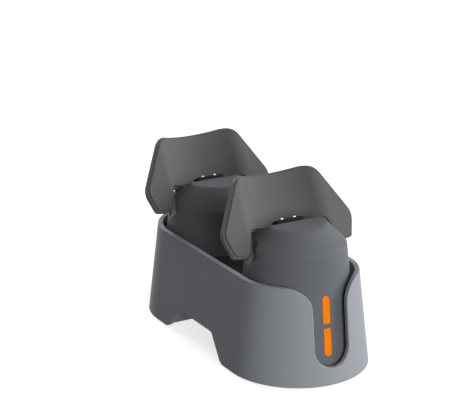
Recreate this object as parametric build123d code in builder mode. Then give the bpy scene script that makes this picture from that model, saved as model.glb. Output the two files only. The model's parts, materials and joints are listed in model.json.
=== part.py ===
from build123d import *
from math import atan2, cos, degrees, radians, sin, sqrt, tan
import os

os.makedirs("parts", exist_ok=True)

# Charging dock with two cradles: two round towers, one behind the other, inside one tapered skirt.
# Millimetres. X to the right, Y to the back, Z up, origin on the table under the middle of the dock.

# Plan and skirt
cradle_pitch = 72.0
draft = 6.5
floor_gap = 0.3
skirt_radius = 32.8
skirt_height = 43.9
skirt_wall = 2.4
rim_round = 0.45

# U-shaped slot in the front of the skirt
slot_half_width = 8.6
slot_floor = 7.8
slot_flare = 10.0

# Arch through both long sides of the skirt
arch_height = 11.6
arch_top_half = 14.7
arch_foot_half = 25.2
arch_top_round = 3.0
arch_foot_round = 5.0

# Towers
tower_gap = 2.0
tower_wall = 2.2
shoulder_height = 56.0
shoulder_slope = 45.0
shoulder_round = 2.0
crown_rise = 9.0
crown_round = 3.0

# Seat that slopes down to the back of each tower, and the shelf behind it
lean = 30.0
seat_depth = 15.0
seat_back_inset = 8.0
seat_wall = 2.4
shelf_drop = 13.0
shelf_lip = 3.0

# Leaning saddle: hollow in the middle, with flat wings that end in two hanging lugs
hollow_depth = 9.5
saddle_back_round = 3.6
saddle_wall = 3.2
saddle_height = 26.0
saddle_flare = 3.4
saddle_top_half = 20.0
saddle_corner = 9.0
saddle_edge_round = 1.0
lug_clear = 0.4
lug_width = 8.2
lug_taper = 4.0
lug_inner_drop = 11.6
lug_outer_drop = 10.5
lug_inner_round = 4.5
lug_outer_round = 1.6
lug_pocket_gap = 0.6
lug_pocket_front = 3.0
lug_pocket_drop = 2.2
throat_round = 1.6
root_half = 11.0
root_drop = 2.0
pad_thickness = 1.2
pad_inset = 0.9
pad_round = 0.5

# Charging contacts in each seat
tongue_width = 15.0
tongue_depth = 5.4
tongue_rise = 2.4
tongue_corner = 1.6
tongue_round = 0.6
flange_side = 3.0
flange_lip = 1.3
flange_gap = 0.3
flange_thickness = 1.5
contact_board_thickness = 1.2
pin_radius = 0.8
pin_rise = 0.9
pin_half_spacing = 3.2

# Light windows in the front tower
light_width = 3.5
lower_light_low = 11.45
lower_light_length = 12.4
light_gap = 2.1
upper_light_length = 12.45
light_flange = 0.5
light_flange_thickness = 1.0
light_board_setback = 6.4
light_board_width = 9.0
light_board_margin = 6.0
light_board_thickness = 1.2
light_screw_inset = 2.5
light_post_radius = 2.0
led_size = 2.2
led_height = 1.0
led_half_spacing = 3.2

# Bent base and foot pads
base_reveal = 0.6
base_thickness = 2.4
foot_pad_inset = 3.0
foot_pad_margin = 3.0

# Deck between the towers
deck_height = 35.0
deck_thickness = 2.0
deck_horn = 14.0
deck_gap = 0.4
deck_post_half_spacing = 19.0
ledge_width = 1.4
ledge_thickness = 1.6
deck_ledge_half_length = 12.0
base_ledge_margin = 8.0

# Charging board in the rear tower, with its inlet through the back of the skirt
board_half_width = 14.0
board_front_margin = 4.0
board_gap = 1.8
board_tail_half_width = 7.6
board_tail_gap = 0.9
board_thickness = 1.6
standoff_height = 2.4
standoff_radius = 2.6
board_screw_inset = 2.8
inlet_width = 8.94
inlet_height = 3.26
inlet_length = 7.35
inlet_wall = 0.3
inlet_recess = 0.5
inlet_gap = 0.2
inlet_tongue_width = 6.6
inlet_tongue_thickness = 0.7
inlet_back = 1.0
port_gap = 1.0
chip_size = 6.0
chip_height = 1.0
inductor_size = 6.6
inductor_height = 3.0
capacitor_radius = 1.6
capacitor_height = 4.2
capacitor_gap = 1.6
socket_width = 4.6
socket_depth = 3.6
socket_height = 3.4
socket_inset = 0.4

# Leads and the openings that they pass through
lead_radius = 0.8
lead_level = 22.0
lead_sag = 1.5
lead_spacing = 5.2
lead_arc_share = 0.45
contact_lead_run = 12.0
light_lead_run = 10.0
light_lead_drop = 12.0
wire_opening_half_width = 9.0
wire_opening_top = 27.0

# Fasteners and fits
fit = 0.1
screw_radius = 1.1
screw_head_radius = 2.2
screw_fit = 0.08
screw_end_gap = 0.3
countersink = 45.0
drive_length = 2.6
drive_width = 0.6
drive_depth = 0.8
boss_radius = 3.0
boss_sink = 0.5
boss_cap = 1.5
boss_angles = (34.0, 78.0)
base_screw_length = 8.0
small_screw_radius = 0.7
small_screw_head_radius = 1.4
small_screw_head_height = 0.8
saddle_screw_half_spacing = 8.0
saddle_screw_inset = 2.9
saddle_screw_reach = 3.2

# Plan values worked out from the sizes above
slope = tan(radians(draft))
ramp = atan2(arch_height - floor_gap, arch_foot_half - arch_top_half)
front_y = -cradle_pitch / 2
rear_y = cradle_pitch / 2
reach = cradle_pitch / 2 + 2 * skirt_radius


def skirt_at(level):
    """Outer radius of the skirt's round ends at a level."""
    return skirt_radius - slope * level


def tower_at(level):
    """Outer radius of a tower's tapered flank at a level."""
    return skirt_at(level) - skirt_wall - tower_gap


# Levels
base_low = floor_gap + base_reveal
base_top = base_low + base_thickness
middle_low = arch_height + base_reveal
middle_top = middle_low + base_thickness
deck_low = deck_height - deck_thickness
crown_height = shoulder_height + crown_rise
shelf_height = crown_height - shelf_drop

# Seat and saddle
lean_sin = sin(radians(lean))
lean_cos = cos(radians(lean))
seat_axis = Axis((0, 0, 0), (0, lean_sin, lean_cos))
saddle_front = Vector(0, -lean_cos, lean_sin)
seat_back_y = tower_at(shoulder_height) - seat_back_inset
seat_back_z = crown_height - seat_depth * lean_sin
shelf_front = seat_back_y - shelf_lip
plate_front = pad_thickness
plate_back = pad_thickness + saddle_wall
lug_inner = tower_at(shoulder_height) + lug_clear
lug_outer = lug_inner + lug_width
saddle_half_width = lug_outer + saddle_flare
hollow_turn = 2 * degrees(atan2(hollow_depth, lug_inner))
hollow_round = plate_back + saddle_back_round
hollow_radius = lug_inner / sin(radians(hollow_turn)) - hollow_round
saddle_screw_ring = tower_at(shelf_height) - tower_wall - saddle_screw_inset
saddle_screw_setback = sqrt(saddle_screw_ring**2 - saddle_screw_half_spacing**2)

# Contacts, square to the seat
flange_width = tongue_width + 2 * flange_side
flange_depth = tongue_depth + 2 * flange_lip
flange_room = shelf_lip + tower_wall + flange_gap - seat_wall * lean_sin
contact_setback = flange_depth / 2 + flange_room / lean_cos
flange_bottom = seat_wall + flange_thickness
contact_board_bottom = flange_bottom + contact_board_thickness
contact_screw_x = tongue_width / 2 + flange_side / 2
contact_screw_places = [(-contact_screw_x, -contact_setback), (contact_screw_x, -contact_setback)]
contact_pin_places = [(-pin_half_spacing, -contact_setback), (pin_half_spacing, -contact_setback)]

# Light windows and their board
lower_light_high = lower_light_low + lower_light_length
upper_light_low = lower_light_high + light_gap
upper_light_high = upper_light_low + upper_light_length
light_middle = (lower_light_low + upper_light_high) / 2
light_board_length = (upper_light_high - lower_light_low) / cos(radians(draft)) + 2 * light_board_margin
light_screw_y = light_board_length / 2 - light_screw_inset
light_screw_places = [(0, -light_screw_y), (0, light_screw_y)]

# Screw bosses, deck posts and the charging board
screw_head_height = (screw_head_radius - screw_radius) / tan(radians(countersink))
boss_height = base_low + base_screw_length + 2 * boss_cap
boss_ring = tower_at(base_top) - tower_wall - boss_radius + boss_sink
deck_half_length = cradle_pitch / 2 - deck_horn
board_bottom = base_top + standoff_height
board_top = board_bottom + board_thickness
inlet_level = board_top + inlet_height / 2
inlet_face = rear_y + skirt_at(inlet_level) - inlet_recess
board_front = arch_foot_half + board_front_margin
board_waist = rear_y + boss_ring * cos(radians(boss_angles[0])) - boss_radius - board_gap
board_tail_end = rear_y + skirt_at(inlet_level) - skirt_wall - board_tail_gap
board_middle = (board_front + board_waist) / 2
board_side = (chip_size / 2 + board_half_width) / 2
socket_y = board_front + socket_depth / 2 + socket_inset
lead_start = board_top + socket_height


def tapered_stadium(level, height, inset):
    """Tapered block with round ends that lies inside the skirt's outer face by inset."""
    with BuildPart() as block:
        with BuildSketch(Plane.XY.offset(level)):
            SlotCenterToCenter(cradle_pitch, 2 * (skirt_at(level) - inset), rotation=90)
        extrude(amount=height, taper=draft)
    return block.part


def under_bend(lift):
    """Block below the bent floor line, which is raised square to itself by lift."""
    slip = lift * tan(ramp / 2)
    low = floor_gap + lift
    high = arch_height + lift
    foot = arch_foot_half + slip
    top = arch_top_half + slip
    foot_round = arch_foot_round - lift
    top_round = arch_top_round + lift
    bend = [(-reach, low), (-foot, low), (-top, high), (top, high), (foot, low), (reach, low)]
    with BuildPart() as block:
        with BuildSketch(Plane.YZ):
            with BuildLine():
                FilletPolyline(*bend, radius=[foot_round, top_round, top_round, foot_round])
                Polyline((-reach, low), (-reach, -reach), (reach, -reach), (reach, low))
            make_face()
        extrude(amount=2 * skirt_radius, both=True)
    return block.part


def tower_form(tower_y, inset, foot):
    """Solid of revolution of a tower, moved in square to its outline by inset, from the level foot up."""
    cone = 1 / tan(radians(shoulder_slope))
    flank = tower_at(0) - inset * sqrt(1 + slope**2)
    shoulder = tower_at(shoulder_height) + cone * shoulder_height - inset * sqrt(1 + cone**2)
    crease = (shoulder - flank) / (cone - slope)
    crown = crown_height - inset
    outline = [
        (0, foot),
        (flank - slope * foot, foot),
        (flank - slope * crease, crease),
        (shoulder - cone * crown, crown),
        (0, crown),
    ]
    with BuildPart() as form:
        with BuildSketch(Plane.XZ.offset(-tower_y)):
            with BuildLine():
                FilletPolyline(*outline, radius=[0, 0, shoulder_round, crown_round, 0], close=True)
            make_face()
        revolve(axis=Axis((0, tower_y, 0), (0, 0, 1)))
    return form.part


def seat_plane(tower_y, rise=0.0):
    """Plane of the seat, raised by rise: X across, Y to the back, normal up along the saddle."""
    origin = (0, tower_y + seat_back_y, seat_back_z)
    return Plane(origin=origin, x_dir=(1, 0, 0), z_dir=seat_axis.direction).offset(rise)


def saddle_plane(tower_y):
    """Plane of the saddle's middle line: X across, Y up along the saddle, normal to the front."""
    origin = (0, tower_y + seat_back_y, seat_back_z)
    return Plane(origin=origin, x_dir=(1, 0, 0), z_dir=saddle_front)


def saddle_band(plane, front, back):
    """Section of the saddle between two depths behind the pad's face: hollow middle, flat wings."""
    wing_end = saddle_half_width + saddle_wall
    with BuildSketch(plane) as band:
        with BuildLine():
            for depth in (front, back):
                blend_centre = (lug_inner, hollow_round - hollow_depth)
                CenterArc(blend_centre, hollow_round - depth, 270 - hollow_turn, hollow_turn)
                Line((lug_inner, depth - hollow_depth), (wing_end, depth - hollow_depth))
            Line((wing_end, front - hollow_depth), (wing_end, back - hollow_depth))
            mirror(about=Plane.YZ)
            for depth in (front, back):
                CenterArc((0, -hollow_radius), hollow_radius + depth, 90 - hollow_turn, 2 * hollow_turn)
        make_face()
    return band.sketch


def saddle_sheet(tower_y, front, back, inset, edge_round):
    """Layer of the saddle between two depths, cut to its outline moved in by inset, with rounded rims."""
    drop = 2 * max(lug_inner_drop, lug_outer_drop)
    right = [
        (lug_inner - lug_taper, fit),
        (lug_inner, -lug_inner_drop),
        (lug_outer, -lug_outer_drop),
        (saddle_half_width, 0),
        (saddle_top_half, saddle_height),
    ]
    left = [(-x, y) for x, y in reversed(right)]
    rounds = [throat_round, lug_inner_round, lug_outer_round, saddle_corner, saddle_corner]
    with BuildPart() as sheet:
        extrude(saddle_band(seat_plane(tower_y, -drop), front, back), amount=drop + 2 * saddle_height)
        with BuildSketch(saddle_plane(tower_y).offset(-2 * plate_back)):
            with BuildLine():
                FilletPolyline(*right, *left, radius=rounds + rounds[::-1], close=True)
            make_face()
            if inset:
                offset(amount=-inset)
        extrude(amount=2 * plate_back + 2 * hollow_depth, mode=Mode.INTERSECT)
        skins = sheet.faces().filter_by(lambda face: abs(face.normal_at().dot(saddle_front)) > 0.5)
        fillet(skins.edges().filter_by(seat_axis, reverse=True), radius=edge_round)
    return sheet.part


def lug_pocket(tower_y):
    """Room in a tower's flank for the right lug: a gap at its side, below it and in front of its pad."""
    low = -lug_inner_drop - lug_pocket_drop
    outline = [
        (lug_inner - lug_taper - lug_pocket_gap, fit),
        (lug_inner - lug_pocket_gap, low),
        (lug_outer, low),
        (lug_outer, fit),
    ]
    with BuildPart() as room:
        with BuildSketch(saddle_plane(tower_y).offset(hollow_depth + lug_pocket_front)):
            with BuildLine():
                FilletPolyline(*outline, radius=[0, lug_inner_round, 0, 0], close=True)
            make_face()
        extrude(amount=-lug_pocket_front - hollow_round)
    return room.part


def saddle_screw_places(tower_y):
    """Places of the saddle screws on the shelf of a tower."""
    return [(side * saddle_screw_half_spacing, tower_y + saddle_screw_setback) for side in (-1, 1)]


def boss_places(tower_y):
    """Places of a tower's screw bosses, on the half that stands over the flat end of the base."""
    outward = 1 if tower_y > 0 else -1
    return [
        (side * boss_ring * sin(radians(angle)), tower_y + outward * boss_ring * cos(radians(angle)))
        for angle in boss_angles
        for side in (-1, 1)
    ]


def tower_shell(tower_y):
    """Hollow tower with a sloping seat cut, a shelf for the saddle and screw bosses at its foot."""
    inward = -1 if tower_y > 0 else 1
    with BuildPart() as cavity:
        add(tower_form(tower_y, tower_wall, -floor_gap))
        split(bisect_by=seat_plane(tower_y, -seat_wall), keep=Keep.BOTTOM)
        with BuildSketch(Plane.XY.offset(shelf_height - tower_wall)):
            with Locations((0, tower_y + shelf_front - tower_wall + skirt_radius)):
                Rectangle(2 * skirt_radius, 2 * skirt_radius)
        extrude(amount=crown_height, mode=Mode.SUBTRACT)
    with BuildPart() as shell:
        add(tower_form(tower_y, 0, 0))
        split(bisect_by=seat_plane(tower_y), keep=Keep.BOTTOM)
        with BuildSketch(Plane.XY.offset(shelf_height)):
            with Locations((0, tower_y + shelf_front + skirt_radius)):
                Rectangle(2 * skirt_radius, 2 * skirt_radius)
        extrude(amount=crown_height, mode=Mode.SUBTRACT)
        add(cavity.part, mode=Mode.SUBTRACT)
        add(lug_pocket(tower_y), mode=Mode.SUBTRACT)
        mirror(lug_pocket(tower_y), about=Plane.YZ, mode=Mode.SUBTRACT)
        with BuildSketch():
            with Locations(*boss_places(tower_y)):
                Circle(boss_radius)
        extrude(amount=boss_height)
        add(under_bend(base_reveal + base_thickness), mode=Mode.SUBTRACT)
        with BuildSketch():
            with Locations(*boss_places(tower_y)):
                Circle(screw_radius + screw_fit)
        extrude(amount=boss_height - boss_cap, mode=Mode.SUBTRACT)
        with BuildSketch(seat_plane(tower_y, -2 * seat_wall)):
            with Locations((0, -contact_setback)):
                RectangleRounded(tongue_width + 2 * fit, tongue_depth + 2 * fit, tongue_corner + fit)
        extrude(amount=3 * seat_wall, mode=Mode.SUBTRACT)
        with BuildSketch(seat_plane(tower_y, screw_end_gap - seat_wall / 2)):
            with Locations(*contact_screw_places):
                Circle(small_screw_radius + screw_fit)
        extrude(amount=-seat_wall, mode=Mode.SUBTRACT)
        with BuildSketch(Plane.XY.offset(shelf_height)):
            with Locations(*saddle_screw_places(tower_y)):
                Circle(small_screw_radius + screw_fit)
        extrude(amount=-2 * tower_wall, mode=Mode.SUBTRACT)
        with BuildSketch(Plane.XZ.offset(-tower_y)):
            with Locations((0, wire_opening_top / 2)):
                Rectangle(2 * wire_opening_half_width, wire_opening_top)
        extrude(amount=-inward * skirt_radius, mode=Mode.SUBTRACT)
    return shell.part


def light_outline(low, high, round_at_top, grow):
    """Outline of a light window: one end round, the end that faces its neighbour flat."""
    half = light_width / 2 + grow
    bottom = low - grow
    top = high + grow
    with BuildSketch(Plane.XZ.offset(-front_y)) as outline:
        with BuildLine():
            if round_at_top:
                Polyline((-half, top - half), (-half, bottom), (half, bottom), (half, top - half))
                CenterArc((0, top - half), half, 0, 180)
            else:
                Polyline((-half, bottom + half), (-half, top), (half, top), (half, bottom + half))
                CenterArc((0, bottom + half), half, 180, 180)
        make_face()
    return outline.sketch


def light_plug(low, high, round_at_top, grow, skin, depth):
    """Piece of a light window's prism between two depths below the tower's outer face."""
    with BuildPart() as plug:
        extrude(light_outline(low, high, round_at_top, grow), amount=skirt_radius)
        add(tower_form(front_y, skin, 0), mode=Mode.INTERSECT)
        add(tower_form(front_y, depth, -floor_gap), mode=Mode.SUBTRACT)
    return plug.part


def light_bar(low, high, round_at_top):
    """Clear plug that lies flush in its window, with a flange behind the tower's wall."""
    flange_skin = tower_wall + fit / 2
    depth = flange_skin + light_flange_thickness
    with BuildPart() as bar:
        add(light_plug(low, high, round_at_top, -fit, 0, depth))
        add(light_plug(low, high, round_at_top, light_flange, flange_skin, depth))
    return bar.part


def pan_screws(plane, places, length):
    """Pan-head screws that start on the plane and run along its normal, or against it if negative."""
    head = -small_screw_head_height if length > 0 else small_screw_head_height
    with BuildPart() as group:
        with BuildSketch(plane):
            with Locations(*places):
                Circle(small_screw_head_radius)
        extrude(amount=head)
        with BuildSketch(plane):
            with Locations(*places):
                Circle(small_screw_radius)
        extrude(amount=length)
    return group.part


def contact_lead_end(tower_y, back_off):
    """Point that lies back_off below a contact board, square to it."""
    return seat_plane(tower_y, -contact_board_bottom - back_off).from_local_coords((0, -contact_setback, 0))


def lead_tube(*points):
    """Round lead along straight runs, joined by tangent arcs as wide as the runs allow."""
    route = [Vector(point) for point in points]
    radii = []
    for before, corner, after in zip(route, route[1:], route[2:]):
        turn = radians((corner - before).get_angle(after - corner))
        shorter = min((corner - before).length, (after - corner).length)
        radii.append(lead_arc_share * shorter / tan(turn / 2))
    print("lead radii", [round(radius, 1) for radius in radii])
    with BuildPart() as tube:
        with BuildLine() as path:
            FilletPolyline(*route, radius=radii)
        with BuildSketch(Plane(origin=path.line @ 0, z_dir=path.line % 0)):
            Circle(lead_radius)
        sweep()
    return tube.part


# Outer skirt
with BuildPart() as outer_shell:
    add(tapered_stadium(floor_gap, skirt_height - floor_gap, 0))
    add(tapered_stadium(floor_gap, skirt_height - floor_gap, skirt_wall), mode=Mode.SUBTRACT)
    flare_centre = slot_half_width + slot_flare
    flare_level = skirt_height - slot_flare
    slot_turn = slot_floor + slot_half_width
    with BuildSketch(Plane.XZ.offset(-front_y)):
        with BuildLine():
            CenterArc((-flare_centre, flare_level), slot_flare, 0, 90)
            Line((-slot_half_width, flare_level), (-slot_half_width, slot_turn))
            CenterArc((0, slot_turn), slot_half_width, 180, 180)
            Line((slot_half_width, slot_turn), (slot_half_width, flare_level))
            CenterArc((flare_centre, flare_level), slot_flare, 90, 90)
            Polyline(
                (flare_centre, skirt_height),
                (flare_centre, 2 * skirt_height),
                (-flare_centre, 2 * skirt_height),
                (-flare_centre, skirt_height),
            )
        make_face()
    extrude(amount=2 * skirt_radius, mode=Mode.SUBTRACT)
    slot_edges = outer_shell.edges(Select.LAST).filter_by(Axis.Y, reverse=True)
    fillet(slot_edges, radius=rim_round)
    add(under_bend(0), mode=Mode.SUBTRACT)
    foot_edges = outer_shell.edges(Select.LAST).filter_by(Axis.X, reverse=True)
    fillet(foot_edges, radius=rim_round)
    with BuildSketch(Plane.XY.offset(base_top)):
        SlotCenterToCenter(cradle_pitch, 2 * (skirt_at(base_top) - skirt_wall / 2), rotation=90)
        ledge_inner = skirt_at(base_top) - skirt_wall - ledge_width
        SlotCenterToCenter(cradle_pitch, 2 * ledge_inner, rotation=90, mode=Mode.SUBTRACT)
        Rectangle(4 * skirt_radius, 2 * (arch_foot_half + base_ledge_margin), mode=Mode.SUBTRACT)
    extrude(amount=ledge_thickness, taper=draft)
    with BuildSketch(Plane.XY.offset(deck_low)):
        with Locations((skirt_at(deck_low) - skirt_wall, 0), (skirt_wall - skirt_at(deck_low), 0)):
            Rectangle(2 * ledge_width, 2 * deck_ledge_half_length)
    extrude(amount=-ledge_thickness)
    with BuildSketch(Plane.XZ.offset(-rear_y)):
        with Locations((0, inlet_level)):
            SlotOverall(inlet_width + 2 * inlet_gap, inlet_height + 2 * inlet_gap)
    extrude(amount=-2 * skirt_radius, mode=Mode.SUBTRACT)
outer_shell.part.label = "outer_shell"
export_step(outer_shell.part, "parts/outer_shell.step")

# Bent base that closes the skirt from below and follows the arch
board_screw_places = [
    (side * (board_half_width - board_screw_inset), end)
    for end in (board_front + board_screw_inset, board_waist - board_screw_inset)
    for side in (-1, 1)
]
base_screw_places = boss_places(front_y) + boss_places(rear_y)
deck_screw_places = [(-deck_post_half_spacing, 0), (deck_post_half_spacing, 0)]
screw_seats = ((base_low, base_screw_places), (middle_low, deck_screw_places))
with BuildPart() as base_plate:
    add(tapered_stadium(floor_gap, skirt_height / 2, skirt_wall + fit))
    add(under_bend(base_reveal + base_thickness), mode=Mode.INTERSECT)
    add(under_bend(base_reveal), mode=Mode.SUBTRACT)
    with BuildSketch(Plane.XY.offset(base_top)):
        with Locations(*board_screw_places):
            Circle(standoff_radius)
    extrude(amount=standoff_height)
    with BuildSketch(Plane.XY.offset(board_bottom)):
        with Locations(*board_screw_places):
            Circle(small_screw_radius + screw_fit)
    extrude(amount=-standoff_height - base_thickness / 2, mode=Mode.SUBTRACT)
    for seat_level, places in screw_seats:
        with BuildSketch(Plane.XY.offset(seat_level)):
            with Locations(*places):
                Circle(screw_head_radius + screw_fit)
        extrude(amount=screw_head_height, taper=countersink, mode=Mode.SUBTRACT)
        with BuildSketch(Plane.XY.offset(seat_level)):
            with Locations(*places):
                Circle(screw_radius + screw_fit)
        extrude(amount=2 * base_thickness, mode=Mode.SUBTRACT)
base_plate.part.label = "base_plate"
export_step(base_plate.part, "parts/base_plate.step")

# Countersunk screws that hold the towers and the deck to the base, with a cross cut in each head
with BuildPart() as base_screws:
    for seat_level, places in screw_seats:
        with BuildSketch(Plane.XY.offset(seat_level)):
            with Locations(*places):
                Circle(screw_head_radius)
        extrude(amount=screw_head_height, taper=countersink)
        with BuildSketch(Plane.XY.offset(seat_level)):
            with Locations(*places):
                Circle(screw_radius)
        extrude(amount=base_screw_length)
        with BuildSketch(Plane.XY.offset(seat_level)):
            with Locations(*places):
                Rectangle(drive_length, drive_width)
                Rectangle(drive_width, drive_length)
        extrude(amount=drive_depth, mode=Mode.SUBTRACT)
base_screws.part.label = "base_screws"
export_step(base_screws.part, "parts/base_screws.step")

# Deck between the towers, on two posts
with BuildPart() as deck_cover:
    add(tapered_stadium(deck_low, deck_thickness, skirt_wall + 2 * fit))
    with BuildSketch(Plane.XY.offset(deck_low)):
        Rectangle(4 * skirt_radius, 2 * deck_half_length)
    extrude(amount=deck_thickness, mode=Mode.INTERSECT)
    with BuildSketch(Plane.XY.offset(deck_low)):
        with Locations((0, front_y), (0, rear_y)):
            Circle(tower_at(deck_low) + deck_gap)
    extrude(amount=deck_thickness, taper=draft, mode=Mode.SUBTRACT)
    with BuildSketch(Plane.XY.offset(middle_top)):
        with Locations(*deck_screw_places):
            Circle(boss_radius)
    extrude(amount=deck_low - middle_top)
    with BuildSketch(Plane.XY.offset(middle_top)):
        with Locations(*deck_screw_places):
            Circle(screw_radius + screw_fit)
    extrude(amount=base_screw_length, mode=Mode.SUBTRACT)
deck_cover.part.label = "deck_cover"
export_step(deck_cover.part, "parts/deck_cover.step")

# Front tower with its two light windows and the posts of the light board
light_plane = Plane(
    origin=(0, front_y - tower_at(light_middle), light_middle),
    x_dir=(1, 0, 0),
    z_dir=(0, -cos(radians(draft)), sin(radians(draft))),
)
lower_light = (lower_light_low, lower_light_high, False)
upper_light = (upper_light_low, upper_light_high, True)
with BuildPart() as front_tower:
    add(tower_shell(front_y))
    for window in (lower_light, upper_light):
        extrude(light_outline(*window, 0), amount=skirt_radius, mode=Mode.SUBTRACT)
    with BuildSketch(light_plane.offset(-light_board_setback)):
        with Locations(*light_screw_places):
            Circle(light_post_radius)
    extrude(amount=light_board_setback - tower_wall / 2)
    with BuildSketch(light_plane.offset(-light_board_setback)):
        with Locations(*light_screw_places):
            Circle(small_screw_radius + screw_fit)
    extrude(amount=light_board_setback - tower_wall, mode=Mode.SUBTRACT)
front_tower.part.label = "front_tower"
export_step(front_tower.part, "parts/front_tower.step")

# Rear tower with the notch for the inlet
port_half_width = board_tail_half_width + port_gap
port_top = inlet_level + inlet_height / 2 + port_gap
with BuildPart() as rear_tower:
    add(tower_shell(rear_y))
    with BuildSketch(Plane.XZ.offset(-rear_y)):
        with Locations((0, port_top / 2)):
            Rectangle(2 * port_half_width, port_top)
    extrude(amount=-skirt_radius, mode=Mode.SUBTRACT)
rear_tower.part.label = "rear_tower"
export_step(rear_tower.part, "parts/rear_tower.step")

# Light windows
with BuildPart() as lower_light_bar:
    add(light_bar(*lower_light))
lower_light_bar.part.label = "lower_light_bar"
export_step(lower_light_bar.part, "parts/lower_light_bar.step")

with BuildPart() as upper_light_bar:
    add(light_bar(*upper_light))
upper_light_bar.part.label = "upper_light_bar"
export_step(upper_light_bar.part, "parts/upper_light_bar.step")

# Light board behind the windows, with its lamps
with BuildPart() as light_board:
    with BuildSketch(light_plane.offset(-light_board_setback)):
        RectangleRounded(light_board_width, light_board_length, light_post_radius / 2)
        with Locations(*light_screw_places):
            Circle(small_screw_radius + screw_fit, mode=Mode.SUBTRACT)
    extrude(amount=-light_board_thickness)
light_board.part.label = "light_board"
export_step(light_board.part, "parts/light_board.step")

led_places = [
    (0, ((low + high) / 2 - light_middle) / cos(radians(draft)) + shift)
    for low, high, _ in (lower_light, upper_light)
    for shift in (-led_half_spacing, led_half_spacing)
]
with BuildPart() as light_leds:
    with BuildSketch(light_plane.offset(-light_board_setback)):
        with Locations(*led_places):
            Rectangle(led_size, led_size)
    extrude(amount=led_height)
light_leds.part.label = "light_leds"
export_step(light_leds.part, "parts/light_leds.step")

light_board_back = light_board_setback + light_board_thickness
with BuildPart() as light_board_screws:
    light_screw_length = light_board_back - tower_wall - screw_end_gap
    add(pan_screws(light_plane.offset(-light_board_back), light_screw_places, light_screw_length))
light_board_screws.part.label = "light_board_screws"
export_step(light_board_screws.part, "parts/light_board_screws.step")

# Pieces that both cradles have
for end, tower_y in (("front", front_y), ("rear", rear_y)):
    with BuildPart() as foot_pad:
        with BuildSketch():
            with Locations((0, tower_y)):
                Circle(skirt_radius - foot_pad_inset)
            Rectangle(4 * skirt_radius, 2 * (arch_foot_half + foot_pad_margin), mode=Mode.SUBTRACT)
        extrude(amount=base_low)
    foot_pad.part.label = f"{end}_foot_pad"
    export_step(foot_pad.part, f"parts/{end}_foot_pad.step")

    with BuildPart() as saddle:
        add(tower_form(tower_y, 0, shelf_height))
        split(bisect_by=Plane((0, tower_y + shelf_front + fit, 0), z_dir=(0, 1, 0)), keep=Keep.TOP)
        before_plate = saddle_band(seat_plane(tower_y), -seat_depth, plate_front + saddle_wall / 2)
        extrude(before_plate, amount=crown_height, mode=Mode.SUBTRACT)
        add(saddle_sheet(tower_y, plate_front, plate_back, 0, saddle_edge_round))
        with BuildSketch(seat_plane(tower_y, -root_drop)):
            with Locations((0, -hollow_radius)):
                Circle(hollow_radius + plate_back)
                Circle(hollow_radius + plate_front, mode=Mode.SUBTRACT)
            Rectangle(2 * root_half, hollow_radius, mode=Mode.INTERSECT)
        extrude(amount=root_drop + 2 * saddle_edge_round)
        with BuildSketch(Plane.XY.offset(shelf_height)):
            with Locations(*saddle_screw_places(tower_y)):
                Circle(small_screw_radius + screw_fit)
        extrude(amount=saddle_screw_reach + screw_end_gap, mode=Mode.SUBTRACT)
    saddle.part.label = f"{end}_saddle"
    export_step(saddle.part, f"parts/{end}_saddle.step")

    with BuildPart() as saddle_pad:
        add(saddle_sheet(tower_y, 0, pad_thickness, pad_inset, pad_round))
    saddle_pad.part.label = f"{end}_saddle_pad"
    export_step(saddle_pad.part, f"parts/{end}_saddle_pad.step")

    with BuildPart() as contact_block:
        with BuildSketch(seat_plane(tower_y, -flange_bottom)):
            with Locations((0, -contact_setback)):
                RectangleRounded(flange_width, flange_depth, tongue_corner)
        extrude(amount=flange_thickness)
        with BuildSketch(seat_plane(tower_y, -flange_bottom)):
            with Locations((0, -contact_setback)):
                RectangleRounded(tongue_width, tongue_depth, tongue_corner)
        extrude(amount=flange_bottom + tongue_rise)
        tongue_top = contact_block.faces().sort_by(seat_axis)[-1]
        fillet(tongue_top.edges(), radius=tongue_round)
        with BuildSketch(seat_plane(tower_y, -flange_bottom)):
            with Locations(*contact_pin_places):
                Circle(pin_radius + screw_fit)
            with Locations(*contact_screw_places):
                Circle(small_screw_radius + screw_fit)
        extrude(amount=flange_bottom + 2 * tongue_rise, mode=Mode.SUBTRACT)
    contact_block.part.label = f"{end}_contact_block"
    export_step(contact_block.part, f"parts/{end}_contact_block.step")

    with BuildPart() as contact_pins:
        with BuildSketch(seat_plane(tower_y, -contact_board_bottom - pin_rise)):
            with Locations(*contact_pin_places):
                Circle(pin_radius)
        extrude(amount=contact_board_bottom + tongue_rise + 2 * pin_rise)
        pin_tips = contact_pins.faces().sort_by(seat_axis)[-2:]
        fillet(pin_tips.edges(), radius=pin_radius / 2)
    contact_pins.part.label = f"{end}_contact_pins"
    export_step(contact_pins.part, f"parts/{end}_contact_pins.step")

    with BuildPart() as contact_board:
        with BuildSketch(seat_plane(tower_y, -contact_board_bottom)):
            with Locations((0, -contact_setback)):
                Rectangle(flange_width, flange_depth)
            with Locations(*contact_pin_places):
                Circle(pin_radius + screw_fit, mode=Mode.SUBTRACT)
            with Locations(*contact_screw_places):
                Circle(small_screw_radius + screw_fit, mode=Mode.SUBTRACT)
        extrude(amount=contact_board_thickness)
    contact_board.part.label = f"{end}_contact_board"
    export_step(contact_board.part, f"parts/{end}_contact_board.step")

# Small pan-head screws in groups
with BuildPart() as saddle_screws:
    for tower_y in (front_y, rear_y):
        shelf_under = Plane.XY.offset(shelf_height - tower_wall)
        add(pan_screws(shelf_under, saddle_screw_places(tower_y), tower_wall + saddle_screw_reach))
saddle_screws.part.label = "saddle_screws"
export_step(saddle_screws.part, "parts/saddle_screws.step")

with BuildPart() as contact_screws:
    for tower_y in (front_y, rear_y):
        board_under = seat_plane(tower_y, -contact_board_bottom)
        add(pan_screws(board_under, contact_screw_places, contact_board_bottom - seat_wall / 2))
contact_screws.part.label = "contact_screws"
export_step(contact_screws.part, "parts/contact_screws.step")

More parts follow.
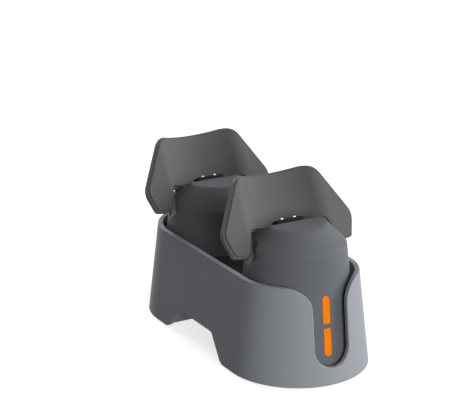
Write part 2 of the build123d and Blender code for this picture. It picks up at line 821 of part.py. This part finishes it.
with BuildPart() as board_screws:
    board_screw_length = board_thickness + standoff_height + base_thickness / 2 - screw_end_gap
    add(pan_screws(Plane.XY.offset(board_top), board_screw_places, -board_screw_length))
board_screws.part.label = "board_screws"
export_step(board_screws.part, "parts/board_screws.step")

# Charging board with its parts
with BuildPart() as main_board:
    with BuildSketch(Plane.XY.offset(board_bottom)):
        with Locations((0, board_middle)):
            Rectangle(2 * board_half_width, board_waist - board_front)
        with Locations((0, (board_waist + board_tail_end) / 2)):
            Rectangle(2 * board_tail_half_width, board_tail_end - board_waist)
        with Locations(*board_screw_places):
            Circle(small_screw_radius + screw_fit, mode=Mode.SUBTRACT)
    extrude(amount=board_thickness)
main_board.part.label = "main_board"
export_step(main_board.part, "parts/main_board.step")

with BuildPart() as charge_chip:
    with BuildSketch(Plane.XY.offset(board_top)):
        with Locations((0, board_waist - chip_size)):
            Rectangle(chip_size, chip_size)
    extrude(amount=chip_height)
charge_chip.part.label = "charge_chip"
export_step(charge_chip.part, "parts/charge_chip.step")

with BuildPart() as power_inductor:
    with BuildSketch(Plane.XY.offset(board_top)):
        with Locations((-board_side, board_middle)):
            RectangleRounded(inductor_size, inductor_size, inductor_size / 5)
    extrude(amount=inductor_height)
power_inductor.part.label = "power_inductor"
export_step(power_inductor.part, "parts/power_inductor.step")

capacitor_pitch = 2 * capacitor_radius + capacitor_gap
with BuildPart() as capacitors:
    with BuildSketch(Plane.XY.offset(board_top)):
        with Locations((board_side, board_middle)):
            with GridLocations(capacitor_pitch, capacitor_pitch, 2, 2):
                Circle(capacitor_radius)
    extrude(amount=capacitor_height)
capacitors.part.label = "capacitors"
export_step(capacitors.part, "parts/capacitors.step")

with BuildPart() as lead_sockets:
    with BuildSketch(Plane.XY.offset(board_top)):
        with Locations((0, socket_y)):
            with GridLocations(lead_spacing, 0, 3, 1):
                Rectangle(socket_width, socket_depth)
    extrude(amount=socket_height)
lead_sockets.part.label = "lead_sockets"
export_step(lead_sockets.part, "parts/lead_sockets.step")

# Power inlet in the back of the skirt
with BuildPart() as usb_shell:
    with BuildSketch(Plane.XZ.offset(-inlet_face)):
        with Locations((0, inlet_level)):
            SlotOverall(inlet_width, inlet_height)
            SlotOverall(inlet_width - 2 * inlet_wall, inlet_height - 2 * inlet_wall, mode=Mode.SUBTRACT)
    extrude(amount=inlet_length)
usb_shell.part.label = "usb_shell"
export_step(usb_shell.part, "parts/usb_shell.step")

with BuildPart() as usb_tongue:
    with BuildSketch(Plane.XZ.offset(inlet_length - inlet_face)):
        with Locations((0, inlet_level)):
            SlotOverall(inlet_width - 2 * inlet_wall - fit, inlet_height - 2 * inlet_wall - fit)
    extrude(amount=-inlet_back)
    with BuildSketch(Plane.XZ.offset(inlet_length - inlet_face)):
        with Locations((0, inlet_level)):
            Rectangle(inlet_tongue_width, inlet_tongue_thickness)
    extrude(amount=inlet_back - inlet_length)
usb_tongue.part.label = "usb_tongue"
export_step(usb_tongue.part, "parts/usb_tongue.step")

# Inner leads, from their sockets to the boards
with BuildPart() as rear_contact_lead:
    add(
        lead_tube(
            (0, socket_y, lead_start),
            (0, socket_y, lead_level + lead_start),
            contact_lead_end(rear_y, contact_lead_run),
            contact_lead_end(rear_y, 0),
        )
    )
rear_contact_lead.part.label = "rear_contact_lead"
export_step(rear_contact_lead.part, "parts/rear_contact_lead.step")

with BuildPart() as front_contact_lead:
    add(
        lead_tube(
            (-lead_spacing, socket_y, lead_start),
            (-lead_spacing, socket_y, lead_level),
            (-lead_spacing / 2, 0, lead_level - lead_sag),
            (-lead_spacing / 4, front_y, lead_level),
            contact_lead_end(front_y, contact_lead_run),
            contact_lead_end(front_y, 0),
        )
    )
front_contact_lead.part.label = "front_contact_lead"
export_step(front_contact_lead.part, "parts/front_contact_lead.step")

with BuildPart() as light_lead:
    add(
        lead_tube(
            (lead_spacing, socket_y, lead_start),
            (lead_spacing, socket_y, lead_level),
            (lead_spacing / 2, 0, lead_level - lead_sag),
            light_plane.from_local_coords((0, -light_lead_drop, -light_board_back - light_lead_run)),
            light_plane.from_local_coords((0, -light_lead_drop, -light_board_back)),
        )
    )
light_lead.part.label = "light_lead"
export_step(light_lead.part, "parts/light_lead.step")
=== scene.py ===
import json
import math

import bpy
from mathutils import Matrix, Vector


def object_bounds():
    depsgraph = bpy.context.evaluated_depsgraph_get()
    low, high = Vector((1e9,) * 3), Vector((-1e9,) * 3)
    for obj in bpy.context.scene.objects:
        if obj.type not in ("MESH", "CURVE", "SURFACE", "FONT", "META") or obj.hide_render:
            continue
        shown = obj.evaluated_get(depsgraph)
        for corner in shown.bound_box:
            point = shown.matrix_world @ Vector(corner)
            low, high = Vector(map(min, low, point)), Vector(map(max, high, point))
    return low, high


# Charging dock with two cradles. Metres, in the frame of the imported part: X right, Y back, Z up.

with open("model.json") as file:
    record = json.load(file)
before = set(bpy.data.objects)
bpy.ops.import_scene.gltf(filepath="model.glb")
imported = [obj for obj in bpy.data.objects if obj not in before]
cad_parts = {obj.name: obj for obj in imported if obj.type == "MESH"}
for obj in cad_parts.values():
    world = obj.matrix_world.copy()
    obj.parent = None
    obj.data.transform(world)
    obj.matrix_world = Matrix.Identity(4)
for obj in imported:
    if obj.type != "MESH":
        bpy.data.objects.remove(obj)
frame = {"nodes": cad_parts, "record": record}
nodes = frame["nodes"]
cad_low, cad_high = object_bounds()

# Camera: lengths in pixels of the photograph, the sensor in millimetres, the place in metres
PHOTO_WIDTH = 460
FOCAL_PIXELS = 1617.6
SENSOR = 36.0
CAMERA_PLACE = Vector((-0.35786, -0.60118, 0.29385))
CAMERA_AIM = Vector((0.47275, 0.82438, -0.31130))

# Studio lamps: azimuth from +X and rise in degrees, distance and size in metres, level 1 as written
FRONT_LAMP = {"azimuth": -97.0, "rise": 19.0, "distance": 1.3, "size": 0.9, "level": 0.73}
SIDE_LAMP = {"azimuth": -20.0, "rise": 16.0, "distance": 1.3, "size": 1.0, "level": 0.79}
BACK_LAMP = {"azimuth": 91.0, "rise": 30.0, "distance": 1.3, "size": 0.6, "level": 0.5}

# Room and paper floor: sizes in metres, light and paper from 0 for black to 1 for white
ROOM_LEVEL = 0.02
FLOOR_HALF = 4.0
FLOOR_LEVEL = -0.0001
PAPER_GLOW = 0.75
PAPER_NEAR = 0.25
PAPER_FAR = 0.7
PAPER_WHITE = 0.6
PAPER_FIBRE = 0.97
PAPER_BOUNCE = 0.08
FIBRE_SIZE = 0.004

# Finishes: sizes and depths in metres
PLASTIC_SHEEN = 0.08
FLOW_SIZE = 0.022
GRAIN_SIZE = 0.00045
GRAIN_DEPTH = 0.000016
RUBBER_SHEEN = 0.15
RUBBER_DRIFT_SIZE = 0.015
PEEL_SIZE = 0.0007
PEEL_DEPTH = 0.00001
DUST_SIZE = 0.0004
DUST_LIMIT = 0.76
WINDOW_SHEEN = 0.02
MILK_SIZE = 0.004
LAMP_FILL_SIZE = 0.0009
METAL_LINE_SIZE = 0.0006
METAL_LINE_DEPTH = 0.000004
METAL_SPOT_SIZE = 0.003
BOARD_WEAVE_SIZE = 0.0005
TRACKS_PER_METRE = 420.0
TRACK_EDGE = 0.05
TRACK_DEPTH = 0.00003
TIN_SPOTS_PER_METRE = 380.0
TIN_SPOT_RADIUS = 0.16


def paint(red, green, blue):
    """Linear colour with full cover, from the 0 to 255 levels that a screen shows."""
    levels = [level / 255 for level in (red, green, blue)]
    linear = [level / 12.92 if level <= 0.04045 else ((level + 0.055) / 1.055) ** 2.4 for level in levels]
    return (*linear, 1.0)


def grey(level):
    """Linear grey with full cover."""
    return (level, level, level, 1.0)


class Wire:
    """A socket that carries a value. Sums and products with it add Math nodes to its finish."""

    def __init__(self, finish, socket):
        self.finish = finish
        self.socket = socket

    def joined(self, operation, first, second):
        return self.finish.node("ShaderNodeMath", {"operation": operation}, {0: first, 1: second})

    def __add__(self, other):
        return self.joined("ADD", self, other)

    def __radd__(self, other):
        return self.joined("ADD", other, self)

    def __sub__(self, other):
        return self.joined("SUBTRACT", self, other)

    def __rsub__(self, other):
        return self.joined("SUBTRACT", other, self)

    def __mul__(self, other):
        return self.joined("MULTIPLY", self, other)

    def __rmul__(self, other):
        return self.joined("MULTIPLY", other, self)

    def __gt__(self, other):
        return self.joined("GREATER_THAN", self, other)

    def __lt__(self, other):
        return self.joined("LESS_THAN", self, other)


class Nodes:
    """A node tree that nodes are added to."""

    def __init__(self, tree):
        self.tree = tree

    def node(self, kind, settings=None, sockets=None, output=0):
        """Adds a node: its settings first, then the values or wires of its sockets."""
        made = self.tree.nodes.new(kind)
        for name, value in (settings or {}).items():
            setattr(made, name, value)
        for name, value in (sockets or {}).items():
            self.feed(made.inputs[name], value)
        return Wire(self, made.outputs[output])

    def feed(self, socket, value):
        """Links a wire to a socket, or writes a fixed value on it."""
        if isinstance(value, Wire):
            self.tree.links.new(value.socket, socket)
        else:
            socket.default_value = value

    def seen_rays(self):
        """1 for the rays that show the background to the eye, directly, in a gloss or through glass."""
        kinds = ("Is Camera Ray", "Is Glossy Ray", "Is Transmission Ray")
        camera, glossy, passed = [self.node("ShaderNodeLightPath", output=kind) for kind in kinds]
        return camera + glossy + passed


class Finish(Nodes):
    """One material. Fixed numbers go straight to the shader's sockets, the rest comes from nodes."""

    def __init__(self, name, **fixed):
        self.material = bpy.data.materials.new(name)
        self.material.use_nodes = True
        super().__init__(self.material.node_tree)
        self.shader = self.tree.nodes["Principled BSDF"]
        for socket, value in fixed.items():
            self.shader.inputs[socket.replace("_", " ")].default_value = value

    def place(self):
        """Place on the part, in metres."""
        return self.node("ShaderNodeTexCoord", output="Object")

    def cloud(self, size, detail=2.0, stretch=None):
        """Soft random field from 0 to 1 with lumps of a size in metres, longer along an axis if stretched."""
        place = self.place()
        if stretch:
            settings = {"operation": "MULTIPLY"}
            place = self.node("ShaderNodeVectorMath", settings, {0: place, 1: stretch})
        sockets = {"Vector": place, "Scale": 1 / size, "Detail": detail}
        return self.node("ShaderNodeTexNoise", {"noise_dimensions": "3D"}, sockets, "Fac")

    def blend(self, amount, first, second):
        """Colour between two colours."""
        settings = {"data_type": "RGBA", "blend_type": "MIX"}
        return self.node("ShaderNodeMix", settings, {"Factor": amount, 6: first, 7: second}, 2)

    def relief(self, height, depth):
        """Surface tilt from a height field of a depth in metres."""
        sockets = {"Height": height, "Distance": depth, "Strength": 1.0}
        self.feed(self.shader.inputs["Normal"], self.node("ShaderNodeBump", None, sockets, "Normal"))

    def wear(self, **fields):
        """Feeds the shader's own sockets with what changes over the surface."""
        for socket, value in fields.items():
            self.feed(self.shader.inputs[socket.replace("_", " ")], value)


def moulded_plastic(name, dark, light, gloss):
    """Satin moulded plastic: spark-eroded grain and a faint drift of colour where the melt has flowed."""
    finish = Finish(name, Specular_IOR_Level=PLASTIC_SHEEN)
    drift = finish.cloud(FLOW_SIZE, 3.0)
    grains = finish.cloud(GRAIN_SIZE, 1.0)
    finish.wear(
        Base_Color=finish.blend(0.75 * drift + 0.25 * grains, dark, light),
        Roughness=gloss + 0.10 * (grains - 0.5) + 0.05 * (drift - 0.5),
    )
    finish.relief(grains, GRAIN_DEPTH)
    return finish.material


def silicone(name, dark, light, gloss):
    """Soft rubber: dull, with a fine peel and a few paler specks of dust."""
    finish = Finish(name, Specular_IOR_Level=RUBBER_SHEEN)
    peel = finish.cloud(PEEL_SIZE)
    drift = finish.cloud(RUBBER_DRIFT_SIZE)
    dust = finish.cloud(DUST_SIZE, 0.0) > DUST_LIMIT
    finish.wear(
        Base_Color=finish.blend(0.6 * drift + 0.4 * peel + 0.3 * dust, dark, light),
        Roughness=gloss + 0.08 * (peel - 0.5),
    )
    finish.relief(peel, PEEL_DEPTH)
    return finish.material


def lit_window(name):
    """Milky orange window, evenly lit by the lamps behind it, with a faint cloud in the milk."""
    finish = Finish(name, Base_Color=grey(0.0), Specular_IOR_Level=WINDOW_SHEEN, Emission_Strength=1.0)
    milk = finish.cloud(MILK_SIZE)
    finish.wear(
        Emission_Color=finish.blend(milk, paint(255, 124, 0), paint(255, 132, 0)),
        Roughness=0.34 + 0.08 * milk,
    )
    return finish.material


def lamp_body(name):
    """Small lamp: yellow filled cup, lit from inside."""
    finish = Finish(name, Roughness=0.4, Emission_Strength=0.6)
    fill = finish.cloud(LAMP_FILL_SIZE, 1.0)
    finish.wear(
        Base_Color=finish.blend(fill, paint(230, 160, 40), paint(245, 205, 90)),
        Emission_Color=finish.blend(fill, paint(255, 120, 0), paint(255, 160, 30)),
    )
    return finish.material


def brushed_metal(name, dark, light, gloss, stretch):
    """Plain metal with fine lines of its drawing or plating."""
    finish = Finish(name, Metallic=1.0)
    lines = finish.cloud(METAL_LINE_SIZE, 3.0, stretch)
    spots = finish.cloud(METAL_SPOT_SIZE)
    finish.wear(
        Base_Color=finish.blend(0.7 * lines + 0.3 * spots, dark, light),
        Roughness=gloss + 0.14 * (lines - 0.5),
    )
    finish.relief(lines, METAL_LINE_DEPTH)
    return finish.material


def solder_mask(name):
    """Green board lacquer over copper tracks, with bare tinned spots."""
    finish = Finish(name, Coat_Roughness=0.2)
    weave = finish.cloud(BOARD_WEAVE_SIZE, 1.0, (1.0, 0.3, 1.0))
    brick = {"Vector": finish.place(), "Scale": TRACKS_PER_METRE, "Mortar Size": TRACK_EDGE}
    tracks = finish.node("ShaderNodeTexBrick", {"offset": 0.5}, brick, "Fac")
    cells = {"Vector": finish.place(), "Scale": TIN_SPOTS_PER_METRE}
    distance = finish.node("ShaderNodeTexVoronoi", {"feature": "F1"}, cells, "Distance")
    spots = distance < TIN_SPOT_RADIUS
    lacquer = finish.blend(tracks, paint(16, 66, 40), paint(34, 104, 62))
    finish.wear(
        Base_Color=finish.blend(spots, lacquer, paint(196, 190, 176)),
        Metallic=0.9 * spots,
        Roughness=0.42 + 0.1 * (weave - 0.5) - 0.1 * spots,
        Coat_Weight=0.4 * (1 - spots),
    )
    finish.relief(tracks + 0.5 * spots, TRACK_DEPTH)
    return finish.material


def studio_paper(name):
    """White paper floor that keeps the shadow near the dock and throws only a quiet light back."""
    finish = Finish(name, Roughness=0.9, Specular_IOR_Level=0.0, Emission_Strength=1.0)
    fibre = finish.cloud(FIBRE_SIZE)
    away = finish.node("ShaderNodeVectorMath", {"operation": "LENGTH"}, {0: finish.place()}, "Value")
    span = {"Value": away, "From Min": PAPER_NEAR, "From Max": PAPER_FAR}
    fade = finish.node("ShaderNodeMapRange", {"interpolation_type": "SMOOTHSTEP"}, span)
    finish.wear(
        Base_Color=finish.blend(fibre, grey(PAPER_FIBRE * PAPER_WHITE), grey(PAPER_WHITE)),
        Emission_Color=finish.blend(fade, grey(PAPER_GLOW), grey(1.0)),
    )
    quiet = finish.node("ShaderNodeBsdfDiffuse", None, {"Color": grey(PAPER_BOUNCE)})
    seen = finish.seen_rays()
    shown = Wire(finish, finish.shader.outputs[0])
    mixed = finish.node("ShaderNodeMixShader", None, {0: seen, 1: quiet, 2: shown})
    finish.feed(finish.tree.nodes["Material Output"].inputs["Surface"], mixed)
    return finish.material


def aim(thing, place, target):
    """Puts a lamp or a camera at a place, looking at a target."""
    thing.location = place
    thing.rotation_mode = "QUATERNION"
    thing.rotation_quaternion = (target - place).to_track_quat("-Z", "Y")


def soft_box(name, target, azimuth, rise, distance, size, level):
    """Square lamp round the dock. Level 1 shows a colour as it is written on a face turned to the lamp."""
    lamp = bpy.data.lights.new(name, "AREA")
    lamp.shape = "SQUARE"
    lamp.size = size
    lamp.energy = math.pi**2 * level * distance**2
    box = bpy.data.objects.new(name, lamp)
    bpy.context.scene.collection.objects.link(box)
    turn, lift = math.radians(azimuth), math.radians(rise)
    way = Vector((math.cos(turn) * math.cos(lift), math.sin(turn) * math.cos(lift), math.sin(lift)))
    aim(box, target + distance * way, target)


def floor_sheet():
    """Large flat floor, just clear of the foot pads."""
    turns = ((-1, -1), (1, -1), (1, 1), (-1, 1))
    corners = [(x * FLOOR_HALF, y * FLOOR_HALF, FLOOR_LEVEL) for x, y in turns]
    mesh = bpy.data.meshes.new("floor")
    mesh.from_pydata(corners, [], [(0, 1, 2, 3)])
    floor = bpy.data.objects.new("floor", mesh)
    bpy.context.scene.collection.objects.link(floor)
    floor.data.materials.append(studio_paper("studio_paper"))


def room():
    """Even light from all round, white where the eye meets it."""
    world = bpy.data.worlds.new("room")
    bpy.context.scene.world = world
    world.use_nodes = True
    air = Nodes(world.node_tree)
    background = world.node_tree.nodes["Background"]
    background.inputs["Color"].default_value = grey(1.0)
    strength = ROOM_LEVEL + (1 - ROOM_LEVEL) * air.seen_rays()
    air.feed(background.inputs["Strength"], strength)


def photo_camera():
    """Camera where the photograph was taken from."""
    lens = bpy.data.cameras.new("camera")
    lens.sensor_fit = "HORIZONTAL"
    lens.sensor_width = SENSOR
    lens.lens = FOCAL_PIXELS * SENSOR / PHOTO_WIDTH
    lens.clip_start = 0.01
    camera = bpy.data.objects.new("camera", lens)
    bpy.context.scene.collection.objects.link(camera)
    aim(camera, CAMERA_PLACE, CAMERA_PLACE + CAMERA_AIM)
    bpy.context.scene.camera = camera


finishes = {
    "shell_plastic": moulded_plastic("shell_plastic", paint(158, 162, 168), paint(164, 168, 174), 0.46),
    # Tower plastic: partly a darker grey plastic, partly painted shade, darkened further to stand in for the
    # shade of the docked controllers above it.
    "tower_plastic": moulded_plastic("tower_plastic", paint(105, 108, 112), paint(111, 114, 118), 0.46),
    "deck_plastic": moulded_plastic("deck_plastic", paint(38, 39, 42), paint(46, 47, 50), 0.52),
    "contact_plastic": moulded_plastic("contact_plastic", paint(24, 24, 26), paint(34, 34, 36), 0.42),
    "chip_plastic": moulded_plastic("chip_plastic", paint(22, 22, 24), paint(32, 32, 34), 0.55),
    "socket_plastic": moulded_plastic("socket_plastic", paint(214, 208, 192), paint(226, 221, 206), 0.4),
    "soft_pad": silicone("soft_pad", paint(97, 98, 98), paint(106, 107, 107), 0.62),
    "foot_rubber": silicone("foot_rubber", paint(30, 30, 32), paint(42, 42, 44), 0.7),
    "lead_cover": silicone("lead_cover", paint(22, 22, 24), paint(36, 36, 38), 0.5),
    "light_window": lit_window("light_window"),
    "lamp": lamp_body("lamp"),
    "circuit_board": solder_mask("circuit_board"),
    "contact_metal": brushed_metal(
        "contact_metal", paint(222, 178, 92), paint(240, 204, 122), 0.22, (1, 1, 0.2)
    ),
    "capacitor_can": brushed_metal(
        "capacitor_can", paint(196, 196, 198), paint(216, 216, 218), 0.3, (1, 1, 0.1)
    ),
    "inlet_metal": brushed_metal(
        "inlet_metal", paint(168, 168, 170), paint(198, 198, 200), 0.28, (1, 0.1, 1)
    ),
    "screw_steel": brushed_metal(
        "screw_steel", paint(122, 122, 126), paint(150, 150, 154), 0.32, (1, 1, 0.3)
    ),
}

for subpart in frame["record"]["subparts"]:
    piece = nodes[subpart["node"]]
    piece.data.materials.clear()
    piece.data.materials.append(finishes[subpart["material_slot"]])

middle = (cad_low + cad_high) / 2
floor_sheet()
room()
soft_box("front_lamp", middle, **FRONT_LAMP)
soft_box("side_lamp", middle, **SIDE_LAMP)
soft_box("back_lamp", middle, **BACK_LAMP)
photo_camera()
bpy.context.scene.view_settings.view_transform = "Standard"
